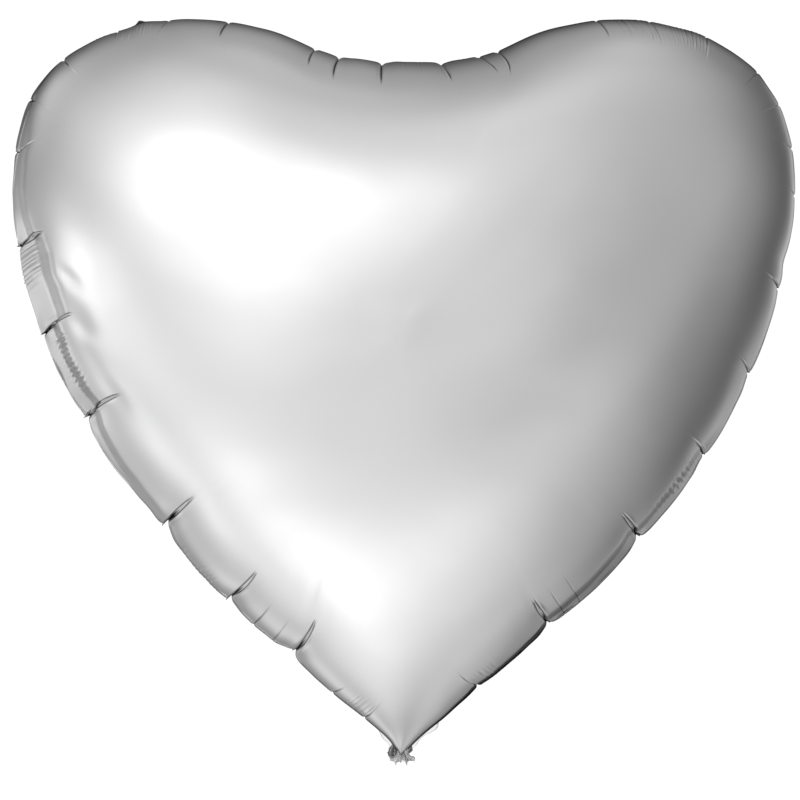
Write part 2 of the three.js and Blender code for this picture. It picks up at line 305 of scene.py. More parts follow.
def dome_height(t, phi):
    """t by row, phi by row and column."""
    table = np.stack([_in_t(t, k) for k in range(len(_phi))], 0)  # phi by row
    in_phi = spline(_phi, table)
    out = np.zeros_like(phi)
    for r in range(len(t)):
        u = np.clip(in_phi(phi[r], r), 0, None) * (1 - t[r] ** 2)
        out[r] = DOME * np.sqrt(u) * (1 + 0.32 * (1 - u) - 0.155 * (1 - u) ** 2)
    return out


# ------------------------------------------------------------------------------------------
# Creases as angles on the rim
# ------------------------------------------------------------------------------------------
class Crease:
    def __init__(self, x0, z0, x1, z1, depth, corner, step, fin):
        self.phi = polar(x0, z0)
        self.arc = float(arc_at(self.phi))
        self.turn = polar(x1, z1) - self.phi  # how far the crease turns towards its inner end
        # how deep below the seam it ends
        end = polar(x1, z1)
        reach = float(seam_radius(np.array([end]))[0]) - math.hypot(x1, z1 - CENTRE_Z)
        self.length = max(2.0, reach * float(cos_lean(np.array([end]))[0]))
        self.depth, self.corner, self.step, self.fin = depth, corner, step, fin
        # the long creases on the left overlap: the edge above is sharp, the corner below is round
        self.above = corner if fin < 1 else 0.45 * corner
        self.low = 1 if self.phi > 90 else -1  # which way along the rim is down
        # deep creases pull the film in over a wider valley
        self.valley = (0.32 if self.phi > 90 else 0.12) * depth if depth > 1.1 else 0.0


creases = sorted((Crease(*c) for c in CREASES), key=lambda c: c.phi)


def columns():
    """Angles on the rim, close together beside the creases and in the ripples."""
    s = np.linspace(0, _arc[-1], 40001)
    want = np.full(len(s), 1.25)
    for c in creases:
        if c.depth < 0.5:
            near = 0.35 + 0.45 * np.maximum(np.abs(s - c.arc) - 1.2, 0)
        else:
            near = 0.26 + 0.30 * np.maximum(np.abs(s - c.arc) - c.corner, 0)
        want = np.minimum(want, near)
    for x, z, half, *_, gap in RIPPLES:
        a = float(arc_at(polar(x, z)))
        want = np.minimum(want, gap / 5 + 0.25 * np.maximum(np.abs(s - a) - half, 0))
    ends = np.minimum(s, s[-1] - s)  # the tip
    want = np.minimum(want, 0.45 + 0.05 * ends)
    total = np.concatenate([[0], np.cumsum((s[1] - s[0]) / ((want[1:] + want[:-1]) / 2))])
    n = int(round(total[-1]))
    return np.interp(np.linspace(0, total[-1], n + 1), total, s)


ARC = columns()  # first and last are both the tip
PHI0 = phi_of(ARC)
DEPTHS = [0.0]
while DEPTHS[-1] < 1:
    DEPTHS.append(DEPTHS[-1] + 0.0033 + 0.078 * DEPTHS[-1])
DEPTHS = np.array(DEPTHS[:-1])
if 1 - DEPTHS[-1] < 0.05:
    DEPTHS = DEPTHS[:-1]
T = 1 - DEPTHS  # from the seam inwards


def turned():
    """Each row's angles: the columns lean so that they run along the creases."""
    deep = [c for c in creases if c.depth > 0.25]
    know = np.array([c.arc for c in deep])
    reach = np.array([c.length for c in deep])
    lean = np.array([c.turn for c in deep]) / reach
    know = np.concatenate([[0], know, [_arc[-1]]])
    lean = np.concatenate([[0], lean, [0]])
    soft = np.interp(ARC, know, lean)
    # smoothed, but exact at the creases
    for _ in range(2):
        k = np.hanning(9)
        soft = np.convolve(np.pad(soft, 4, mode="edge"), k / k.sum(), mode="valid")
    r = seam_radius(PHI0)
    rows = []
    for t in T:
        d = (1 - t) * r * cos_lean(PHI0)
        rows.append(PHI0 + soft * d / (1 + (d / 24) ** 4) ** 0.25 * t**2)
    return np.clip(np.array(rows), -90, 270)


ROWS = turned()


def random_wave(seed, scale, count=10):
    g = np.random.default_rng(seed)
    k = g.normal(size=(count, 3))
    k = k / np.linalg.norm(k, axis=1, keepdims=True) * (2 * math.pi / scale) * g.uniform(0.7, 1.4, (count, 1))
    ph = g.uniform(0, 2 * math.pi, count)

    def wave(p):
        return np.cos(p @ k.T + ph).sum(-1) / math.sqrt(count / 2)

    return wave


def groove(c, q, d, depth):
    """How far the film is pulled in beside a crease: two rounded corners that meet in it."""
    x = np.clip(d / c.length, 0, 1)
    half = np.where(q * c.low < 0, c.above, c.corner) * (1 - 0.62 * x)
    side = np.clip(1 - np.abs(q) / half, 0, 1)
    return depth * (1 - x) ** 0.85 * (1 - np.sqrt(np.clip(1 - side**2, 0, 1)))


def pleat(c, q, d):
    """The folded film in the inner half of a deep crease: a narrow ridge between two lines."""
    x = d / c.length
    wide = lens(x)
    mid = q - 0.3 * wide * c.low
    along = smooth(0.10, 0.35, x) * smooth(1.12, 0.95, x)
    return along * (0.45 * np.exp(-(((np.abs(mid) - wide) / 0.30) ** 2)) - 0.40 * np.exp(-((mid / (0.55 * wide + 0.1)) ** 2)))


def lens(x):
    """Half the width of the folded film along a crease."""
    return 0.95 * np.sqrt(np.clip(1 - ((x - 0.58) / 0.50) ** 2, 0, 1))


def relief(side, arc, d):
    """Inward displacement at arc along the rim and depth d from the seam."""
    g = np.random.default_rng(11 if side < 0 else 12)
    out = np.zeros_like(d)
    for c in creases:
        depth = c.depth * (1 if side < 0 else g.uniform(0.75, 1.15))
        length = 1 if side < 0 else g.uniform(0.8, 1.2)
        q = arc - c.arc
        near = np.abs(q) < 30
        if not near.any():
            continue
        qq, dd = q[near], d[near] / length
        o = groove(c, qq, dd, depth)
        if c.depth > 1.9:
            o = o + pleat(c, qq, dd) * (1 if side < 0 else 0.6)
        if c.valley:
            wide = 5.0 + 0.45 * dd
            o = o + c.valley * np.exp(-((qq / wide) ** 2)) * (1 - smooth(0, 1.9 * c.length, dd)) * smooth(-2, 3, dd)
            # a small lip along one side of the crease
            o = o - 0.16 * depth * np.exp(-(((qq - 0.55 * c.corner) / (0.28 * c.corner)) ** 2)) * (
                1 - smooth(0.5 * c.length, 1.05 * c.length, dd)
            ) * smooth(0, 2.5, dd)
        if c.step:
            o = o + c.step * np.exp(-np.abs(qq) / 9) * smooth(-0.3, 0.3, qq * c.low) * (1 - smooth(0, 12, dd))
        out[near] += o
    for k, (x, z, half, d0, d1, height, gap) in enumerate(RIPPLES):
        if side > 0 and k % 2:
            continue
        a = float(arc_at(polar(x, z)))
        q = arc - a
        near = np.abs(q) < half * 1.3
        qq, dd = q[near], d[near]
        wob = 0.9 * np.sin(qq * 0.9 + k) + 0.5 * np.sin(qq * 0.37 + 2 * k)
        amp = 0.55 + 0.45 * np.sin(qq * 1.7 + 3 * k)
        fall = smooth(half * 1.25, half * 0.7, np.abs(qq)) * smooth(d0 - 1.5, d0 + 1, dd) * smooth(d1 + 2, d1 - 3, dd)
        w = np.cos(2 * math.pi * qq / gap + wob)
        patch = random_wave(60 + k, 8.0, 14)(np.stack([qq * 1.2, dd * 1.1, np.full_like(qq, 3.0 * k)], -1))
        out[near] += height * amp * fall * (np.abs(w) ** 0.7 * np.sign(w)) * np.clip(0.85 + 0.5 * patch, 0.25, 1.5)
    return out


# Beside the deep creases the front film is drawn in: it leaves the seam as a gentle shelf, then
# climbs steeply. Along the rim: angle, width of the shelf, how strong, slope of the shelf, width
# of the climb, and how much painted shade the shelf and the climb get.
SHELF = [
    (-66, 0.8, 0.0, 2.4, 3.0, 0.0, 0.0), (-63.8, 1.2, 0.6, 2.4, 3.0, 0.1, 0.6), (-63.4, 1.4, 1.0, 2.2, 3.2, 0.45, 0.9),
    (-58, 2.4, 1.0, 2.2, 3.6, 0.45, 0.9), (-50, 3.2, 1.0, 2.2, 3.6, 0.42, 0.85), (-44, 4.0, 1.0, 2.3, 3.2, 0.35, 0.75),
    (-41.5, 3.6, 1.0, 2.4, 3.0, 0.25, 0.6), (-41.0, 2.8, 1.0, 2.2, 3.0, 0.0, 0.6), (-34, 3.6, 1.0, 2.1, 3.4, 0.0, 0.8),
    (-26, 2.6, 0.9, 2.3, 3.0, 0.0, 0.75), (-22.8, 1.8, 0.6, 2.4, 3.0, 0.0, 0.4), (-18, 1.0, 0.0, 2.4, 3.0, 0.0, 0.0),
    (150, 0.8, 0.0, 1.6, 4.5, 0, 0), (155, 1.6, 0.35, 1.6, 4.5, 0, 0), (161, 3.0, 0.75, 1.6, 4.5, 0, 0),
    (167.6, 5.6, 0.95, 1.6, 5.0, 0, 0), (168.1, 8.6, 1.0, 1.55, 6.5, 0, 0), (171, 10.2, 1.0, 1.55, 7.5, 0, 0),
    (176, 10.8, 1.0, 1.55, 7.5, 0, 0), (180.5, 10.2, 1.0, 1.55, 7.0, 0, 0), (181.0, 6.8, 1.0, 1.5, 5.0, 0.07, 0.3),
    (186, 6.0, 1.0, 1.5, 4.8, 0.08, 0.55), (190, 6.4, 1.0, 1.5, 4.8, 0.08, 0.55), (195.2, 6.8, 1.0, 1.5, 4.6, 0.08, 0.4),
    (195.6, 4.6, 0.95, 1.7, 4.0, 0.05, 0.2), (204, 3.2, 0.8, 1.8, 4.0, 0, 0.2), (212, 1.6, 0.5, 1.9, 4.0, 0, 0.1),
    (219, 0.8, 0.0, 1.9, 4.0, 0, 0),
]
# where the edge of the climb is puckered like saw teeth: from, to, height, spacing
TEETH = [(182.6, 193.5, 0.85, 2.7), (-36.0, -25.5, 1.0, 3.3)]
# small dents in the front film: middle, half length, half width, direction, depth
DENTS = [
    (-158.5, 214.0, 10.0, 5.0, -52, 1.35),
    (-163.5, 236.5, 8.0, 2.8, -48, 0.60),
    (-142.5, 180.0, 10.0, 3.6, -50, 0.75),
    (-152.0, 196.0, 12.0, 3.0, -55, 0.40),
]


def shelf_at(arc, column):
    a = np.array([float(arc_at(row[0])) for row in SHELF])
    out = np.interp(arc, a, [row[column] for row in SHELF])
    if column == 1:
        for p0, p1, high, gap in TEETH:
            a0, a1 = float(arc_at(p0)), float(arc_at(p1))
            w = np.sin(2 * math.pi * arc / gap + 0.9 * np.sin(arc / 4.7)) + 0.45 * np.sin(2 * math.pi * arc / (0.61 * gap) + 1.0)
            uneven = 0.75 + 0.45 * np.sin(arc / 3.3 + 0.5)
            out = out + high * w * uneven * smooth(a0 - 2, a0 + 5, arc) * smooth(a1 + 2, a1 - 6, arc)
    return out[None]


def shelf(height, d, arc):
    width, much, slope, climb = (shelf_at(arc, k) for k in (1, 2, 3, 4))
    low = much * smooth(width + climb, width, d)
    return height - low * np.clip(height - slope * d, 0, None)


def dents(x, z):
    out = np.zeros_like(x)
    for cx, cz, along, across, way, depth in DENTS:
        c, w = math.cos(math.radians(way)), math.sin(math.radians(way))
        u, v = (x - cx) * c + (z - cz) * w, -(x - cx) * w + (z - cz) * c
        out += depth * np.exp(-((u / along) ** 2) - (v / across) ** 2)
    return out


def flange_wave(arc):
    """How far the flange stands off the plane of the seam."""
    w = 0.35 * np.sin(arc / 23.0) + 0.22 * np.sin(arc / 9.1 + 1.3) + 0.10 * np.sin(arc / 3.7 + 0.4)
    ends = np.minimum(arc, _arc[-1] - arc)
    w = w * smooth(5, 30, ends)
    for i, c in enumerate(creases):
        if c.depth > 0.6:
            q = arc - c.arc
            w = w + (1 if i % 2 else -1) * 0.42 * c.depth * np.sign(q) * np.exp(-np.abs(q) / 2.2) * smooth(0, 0.3, np.abs(q))
    return w


HALF_FILM = 0.09


def panel(name, side):
    """side is -1 for the front panel and 1 for the back one. Rows run from the flange's edge to
    the middle of the dome; columns run round from the tip and back to it."""
    n = len(ARC) - 1  # the last column is the first again
    arc, phi0 = ARC[:-1], PHI0[:-1]
    wave = flange_wave(arc)
    # dome
    phi = ROWS[:, :-1]
    height = dome_height(T, phi)
    d = (1 - T[:, None]) * seam_radius(phi) * cos_lean(phi)
    if side < 0:
        height = shelf(height, d, arc)
    r = T[:, None] * seam_radius(phi)
    x = r * np.cos(np.radians(phi))
    z = CENTRE_Z + r * np.sin(np.radians(phi))
    y = -height
    p = np.stack([x, y, z], -1)
    d = (1 - T[:, None]) * seam_radius(phi) * cos_lean(phi)
    # normals of the smooth dome
    du = np.roll(p, -1, 1) - np.roll(p, 1, 1)
    dv = np.empty_like(p)
    dv[1:-1] = p[2:] - p[:-2]
    dv[0], dv[-1] = p[1] - p[0], p[-1] - p[-2]
    nrm = np.cross(du, dv)
    nrm /= np.linalg.norm(nrm, axis=-1, keepdims=True) + 1e-12
    nrm *= np.where(nrm[..., 1:2] > 0, -1, 1)
    rim = np.stack([np.cos(np.radians(phi0)), np.zeros(n), np.sin(np.radians(phi0))], -1)
    # the outline's own normal, in the plane
    tx = np.gradient(_px, _arc)
    tz = np.gradient(_pz, _arc)
    ox, oz = np.interp(arc, _arc, tz), -np.interp(arc, _arc, tx)
    flat = np.stack([ox, np.zeros(n), oz], -1)
    flat[0] = (0, 0, -1)
    near = smooth(3.0, 0.0, d)[..., None]
    nrm = nrm * (1 - near) + flat[None] * near
    nrm /= np.linalg.norm(nrm, axis=-1, keepdims=True)
    inward = relief(side, np.broadcast_to(arc, d.shape), d)
    slow = random_wave(5 if side < 0 else 6, 95.0)
    slower = random_wave(7 if side < 0 else 8, 48.0)
    calm = smooth(0, 45, d)
    small = random_wave(9 if side < 0 else 10, 26.0, 14)
    inward = inward + calm * (0.30 * slow(p) + 0.07 * slower(p) + 0.022 * small(p))
    if side < 0:
        inward = inward + dents(p[..., 0], p[..., 2])
    p = p - nrm * inward[..., None]
    p[..., 1] += wave[None] * side * -side * smooth(14, 0, d)  # the domes start from the flange
    p[..., 1] -= HALF_FILM
    # flange rows, from the seam to the edge
    edge = []
    base = p[0].copy()
    wide = np.interp(phi0, *zip(*FLANGE_WIDE))
    for f in (0.12, 0.4, 0.7, 1.0):
        out = flange_at(phi0)
        q = base + flat * (out * f)[:, None]
        extra = np.zeros(n)
        lift = wave * (1 + 0.25 * f) + np.sqrt(wide**2 - out**2) * f**1.3
        for c in creases:
            dq = arc - c.arc
            if c.depth > 0.5:
                half = np.where(dq * c.low < 0, c.above, c.corner)
                extra -= 0.22 * c.depth * f * np.exp(-((dq / (0.8 * half)) ** 2))
            if c.fin:
                extra += (c.fin + 0.3 * c.depth) * f * np.clip(1 - np.abs(dq + 0.3 * c.low) / 0.6, 0, 1)
        extra += 1.3 * f * np.exp(-(((arc - float(arc_at(polar(-130.8, 363.5)))) / 1.7) ** 2))
        q = q + flat * extra[:, None]
        q[:, 1] = lift - HALF_FILM
        edge.append(q)
    # the tip: the flange's last point is on the middle line
    for f, q in zip((0.12, 0.4, 0.7, 1.0), edge):
        q[0] = (0, q[0, 1], TIP_Z + (1 - f) * (CENTRE_Z - TIP_Z - float(seam_radius(np.array([-90.0]))[0])))
    grid = np.concatenate([np.array(edge[::-1]), p], 0)
    grid[..., 1] = np.where(side < 0, grid[..., 1], -grid[..., 1] + 2 * 0)
    if side > 0:
        # the back flange lies on the front one, so it follows the same wave
        k = len(edge)
        grid[:k, :, 1] = np.array([e[:, 1] for e in edge[::-1]]) + 2 * HALF_FILM
        back = p.copy()
        back[..., 1] = -(p[..., 1] - wave[None] * smooth(14, 0, d)) + wave[None] * smooth(14, 0, d)
        grid[k:] = back
    # the point of the heart sits a little to one side
    tip = np.exp(-((np.hypot(grid[..., 0], grid[..., 2] - TIP_Z) / 7.0) ** 2))
    grid[..., 0] -= 1.4 * tip
    grid[..., 2] -= 2.4 * tip
    rows = grid.shape[0]
    verts = grid.reshape(-1, 3)
    mid = len(verts)
    middle = grid[-1].mean(0)
    middle[1] = grid[-1, :, 1].mean() + side * 0.25
    verts = np.concatenate([verts, middle[None]])
    i = np.arange(n)
    quads = []
    for r0 in range(rows - 1):
        a, b = r0 * n + i, r0 * n + (i + 1) % n
        c2, d2 = (r0 + 1) * n + (i + 1) % n, (r0 + 1) * n + i
        quads.append(np.stack([a, b, c2, d2], 1))
    quads = np.concatenate(quads)
    fan = np.stack([(rows - 1) * n + i, (rows - 1) * n + (i + 1) % n, np.full(n, mid)], 1)
    if side > 0:
        quads, fan = quads[:, ::-1], fan[:, ::-1]
    me = bpy.data.meshes.new(name)
    nv = len(verts)
    me.vertices.add(nv)
    me.vertices.foreach_set("co", (verts * MM).astype(np.float32).ravel())
    loops = np.concatenate([quads.ravel(), fan.ravel()])
    starts = np.concatenate([np.arange(len(quads)) * 4, len(quads) * 4 + np.arange(len(fan)) * 3])
    me.loops.add(len(loops))
    me.loops.foreach_set("vertex_index", loops.astype(np.int32))
    me.polygons.add(len(starts))
    me.polygons.foreach_set("loop_start", starts.astype(np.int32))
    me.update(calc_edges=True)
    me.validate()
    me.polygons.foreach_set("use_smooth", [True] * len(me.polygons))
    # painted shade along the sharp folds, the seam and the rim, for the material
    painted_shade_lines = np.zeros((rows, n))
    deep = np.concatenate([np.zeros((len(edge), n)), d], 0)
    for c in creases:
        if c.depth < 0.25:
            continue
        q = np.broadcast_to(arc - c.arc, deep.shape)
        near = np.abs(q) < 3
        x = deep[near] / c.length
        shade_line = np.exp(-((q[near] / (0.46 if c.depth > 1.9 else 0.30)) ** 2)) * smooth(0.6, 0.25, x)
        if c.depth > 1.9:
            wide = lens(x)
            two = np.exp(-(((np.abs(q[near] - 0.3 * wide * c.low) - wide) / 0.28) ** 2))
            shade_line = np.maximum(shade_line, 0.85 * two * smooth(0.1, 0.3, x) * smooth(1.1, 0.98, x))
        elif 30 < c.phi < 150 and c.depth > 0.6:
            shade_line = np.maximum(shade_line, 0.95 * np.exp(-((q[near] / 0.36) ** 2)) * smooth(1.1, 0.7, x))
        else:
            shade_line = np.maximum(shade_line, 0.7 * np.exp(-((q[near] / 0.28) ** 2)) * smooth(1.05, 0.6, x))
        painted_shade_lines[near] = np.maximum(painted_shade_lines[near], shade_line * min(1.0, 0.40 + 0.33 * c.depth))
    # painted shadow: the black line along the hard-folded seam
    shade_line, reach = np.interp(phi0, *zip(*FLANGE_PAINTED_SHADOW)), np.interp(phi0, *zip(*PAINTED_SHADOW_WIDE))
    painted_shade_lines[1 : len(edge)] = np.maximum(painted_shade_lines[1 : len(edge)], shade_line)
    painted_shade_lines[len(edge) :] = np.maximum(painted_shade_lines[len(edge) :], shade_line * smooth(reach + 0.9, reach, d))
    # painted shade along the rim over the tops of the lobes
    rim_painted_shade = np.interp(phi0, *zip(*RIM_PAINTED_SHADE))
    painted_shade_lines[1 : len(edge)] = np.maximum(painted_shade_lines[1 : len(edge)], 0.9 * rim_painted_shade)
    painted_shade_lines[len(edge) :] = np.maximum(painted_shade_lines[len(edge) :], 0.85 * rim_painted_shade * np.exp(-d / (2.0 + 1.5 * np.exp(-(((phi0 - 82) / 12) ** 2)))))
    dark = me.attributes.new("painted_shade_lines", "FLOAT", "POINT")
    dark.data.foreach_set("value", np.concatenate([painted_shade_lines.ravel(), [0.0]]).astype(np.float32))
    edge_shade_attr = me.attributes.new("edge_tone_and_painted_shade", "FLOAT", "POINT")
    v = np.zeros((rows, n), np.float32)
    # the heat seal's duller tone plus painted shade on the flange rows
    shade = np.interp(phi0, *zip(*FLANGE_SEAL_AND_SHADE))
    v[: len(edge)] = shade
    v[len(edge)] = 0.6 * shade
    # painted shade on the film beside the rim
    v[len(edge) :] = np.maximum(v[len(edge) :], rim_painted_shade * np.exp(-d / 3.2))
    if side < 0:
        # painted shade on the front film's shelf and on its steep climb
        width, much, climb, shelf_painted_shade, climb_painted_shade = (shelf_at(arc, k2) for k2 in (1, 2, 4, 5, 6))
        mid_climb = smooth(width - 0.6, width + 0.15 * climb, d) * smooth(width + 1.1 * climb, width + 0.7 * climb, d)
        v[len(edge) :] = np.maximum(v[len(edge) :], much * np.maximum(shelf_painted_shade * smooth(width + 1, width, d), climb_painted_shade * mid_climb))
    edge_shade_attr.data.foreach_set("value", np.concatenate([v.ravel(), [0.0]]).astype(np.float32))
    ob = bpy.data.objects.new(name, me)
    bpy.context.scene.collection.objects.link(ob)
    return ob


# ------------------------------------------------------------------------------------------
# Materials
# ------------------------------------------------------------------------------------------
def nodes_of(name):
    m = bpy.data.materials.new(name)
    m.use_nodes = True
    nt = m.node_tree
    nt.nodes.clear()
    out = nt.nodes.new("ShaderNodeOutputMaterial")
    bsdf = nt.nodes.new("ShaderNodeBsdfPrincipled")
    nt.links.new(bsdf.outputs[0], out.inputs[0])
    return m, nt, bsdf


def foil_material(name, tone):
    m, nt, bsdf = nodes_of(name)
    new, link = nt.nodes.new, nt.links.new
    coord = new("ShaderNodeTexCoord")
    bsdf.inputs["Metallic"].default_value = 1.0
    # roughness wanders a little
    n1 = new("ShaderNodeTexNoise")
    n1.inputs["Scale"].default_value = 28.0
    n1.inputs["Detail"].default_value = 3.0
    link(coord.outputs["Object"], n1.inputs["Vector"])
    rough = new("ShaderNodeMapRange")
    rough.inputs["From Min"].default_value = 0.3
    rough.inputs["From Max"].default_value = 0.7
    rough.inputs["To Min"].default_value = 0.28
    rough.inputs["To Max"].default_value = 0.34
    link(n1.outputs["Fac"], rough.inputs["Value"])
    link(rough.outputs["Result"], bsdf.inputs["Roughness"])
    # colour: darker at the edges (the heat seal's duller tone, partly painted shade), with painted shade beside the
    # rim and on the shelf's steep climb; a faint cloud on top
    att = new("ShaderNodeAttribute")
    att.attribute_name = "edge_tone_and_painted_shade"
    edge_tone_and_shade_mix = new("ShaderNodeMix")
    edge_tone_and_shade_mix.data_type = "RGBA"
    edge_tone_and_shade_mix.inputs["A"].default_value = (tone, tone, tone * 1.005, 1)
    edge_tone_and_shade_mix.inputs["B"].default_value = (tone * 0.24, tone * 0.24, tone * 0.243, 1)
    link(att.outputs["Fac"], edge_tone_and_shade_mix.inputs["Factor"])
    # painted shade: near-black lines along the sharp folds, the creases and the hard-folded seam
    att2 = new("ShaderNodeAttribute")
    att2.attribute_name = "painted_shade_lines"
    shade_line = new("ShaderNodeMix")
    shade_line.data_type = "RGBA"
    shade_line.inputs["B"].default_value = (0.035, 0.035, 0.036, 1)
    link(edge_tone_and_shade_mix.outputs["Result"], shade_line.inputs["A"])
    link(att2.outputs["Fac"], shade_line.inputs["Factor"])
    # the painted shade also dims the reflection, so such a line stays dark where it is seen edge on
    edge = new("ShaderNodeMix")
    edge.data_type = "RGBA"
    edge.inputs["A"].default_value = (1, 1, 1, 1)
    edge.inputs["B"].default_value = (0.04, 0.04, 0.04, 1)
    link(att2.outputs["Fac"], edge.inputs["Factor"])
    link(edge.outputs["Result"], bsdf.inputs["Specular Tint"])
    n2 = new("ShaderNodeTexNoise")
    n2.inputs["Scale"].default_value = 9.0
    n2.inputs["Detail"].default_value = 2.0
    link(coord.outputs["Object"], n2.inputs["Vector"])
    cloud = new("ShaderNodeMapRange")
    cloud.inputs["To Min"].default_value = 0.965
    cloud.inputs["To Max"].default_value = 1.035
    link(n2.outputs["Fac"], cloud.inputs["Value"])
    mul = new("ShaderNodeVectorMath")
    mul.operation = "SCALE"
    link(shade_line.outputs["Result"], mul.inputs[0])
    link(cloud.outputs["Result"], mul.inputs["Scale"])
    link(mul.outputs["Vector"], bsdf.inputs["Base Color"])
    # fine texture of the film
    n3 = new("ShaderNodeTexNoise")
    n3.inputs["Scale"].default_value = 900.0
    n3.inputs["Detail"].default_value = 2.0
    link(coord.outputs["Object"], n3.inputs["Vector"])
    bump = new("ShaderNodeBump")
    bump.inputs["Strength"].default_value = 0.05
    bump.inputs["Distance"].default_value = 0.0002
    link(n3.outputs["Fac"], bump.inputs["Height"])
    link(bump.outputs["Normal"], bsdf.inputs["Normal"])
    return m


# ------------------------------------------------------------------------------------------
# Build
# ------------------------------------------------------------------------------------------
foil = foil_material("silver_foil", 0.80)
front = panel("foil_front", -1)
back = panel("foil_back", 1)
for ob, node in ((front, "front_foil_panel"), (back, "back_foil_panel")):
    ob.data.materials.append(foil)
    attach(ob, "balloon")
    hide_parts(node)


# ------------------------------------------------------------------------------------------
# Neck and tail: the film gathered at the tie point, then folded up behind the balloon. s runs
# along the film, from inside the neck (negative) over the fold (0) to the tail's cut end.
# ------------------------------------------------------------------------------------------
LEAN = math.radians(42)
PATH_S = [-11, -6, -3, -1, 0.4, 2, 4, 7, 12, 24, 66]
PATH_YZ = [(0.0, 6.5), (0.15, 1.6), (0.55, -1.4), (1.2, -3.1), (2.15, -3.75), (3.45, -2.75)] + [
    (2.3 + s * math.sin(LEAN), -4.0 + s * math.cos(LEAN)) for s in PATH_S[6:]
]
tail_line = spline(PATH_S, PATH_YZ)
# how low the gathered film hangs at the fold, from left to right
HANG_X = [-9.0, -8.0, -6.6, -5.2, -3.4, -2.3, -0.6, 0.4, 1.4, 2.4, 4.0, 5.6, 7.0]
HANG_Z = [0.2, -0.8, -2.7, -4.0, -4.7, -3.7, -2.9, -3.7, -4.8, -4.1, -3.2, -2.0, -1.0]
# the film's left and right edges along s
FOIL_EDGE = (
    [-11, -6, -4, -3, -1, 0.4, 1.3, 2.2, 6, 9, 11, 13, 16, 19, 25, 32, 66],
    [-2.2, -3.2, -4.6, -6.0, -7.6, -7.9, -8.0, -8.0, -8.3, -7.9, -6.3, -5.4, -6.4, -8.5, -13.0, -15.0, -15.0],
    [2.2, 2.0, 3.2, 4.9, 5.9, 5.9, 5.0, 3.4, 2.7, 4.7, 4.2, 3.8, 6.0, 8.5, 13.0, 15.0, 15.0],
)
INLET_EDGE = (
    [-11, -3, 0.4, 4, 8, 11, 14, 17, 20, 22, 24, 27, 31, 36, 45, 61],
    [-0.8, -1.2, -2.0, -3.0, -5.6, -7.6, -9.6, -11.1, -12.3, -12.8, -13.0, -13.2, -13.0, -12.6, -12.0, -11.0],
    [0.8, 1.0, 1.2, 1.8, 3.3, 5.4, 7.2, 9.9, 14.0, 16.4, 17.1, 17.5, 17.0, 15.0, 12.5, 11.0],
)


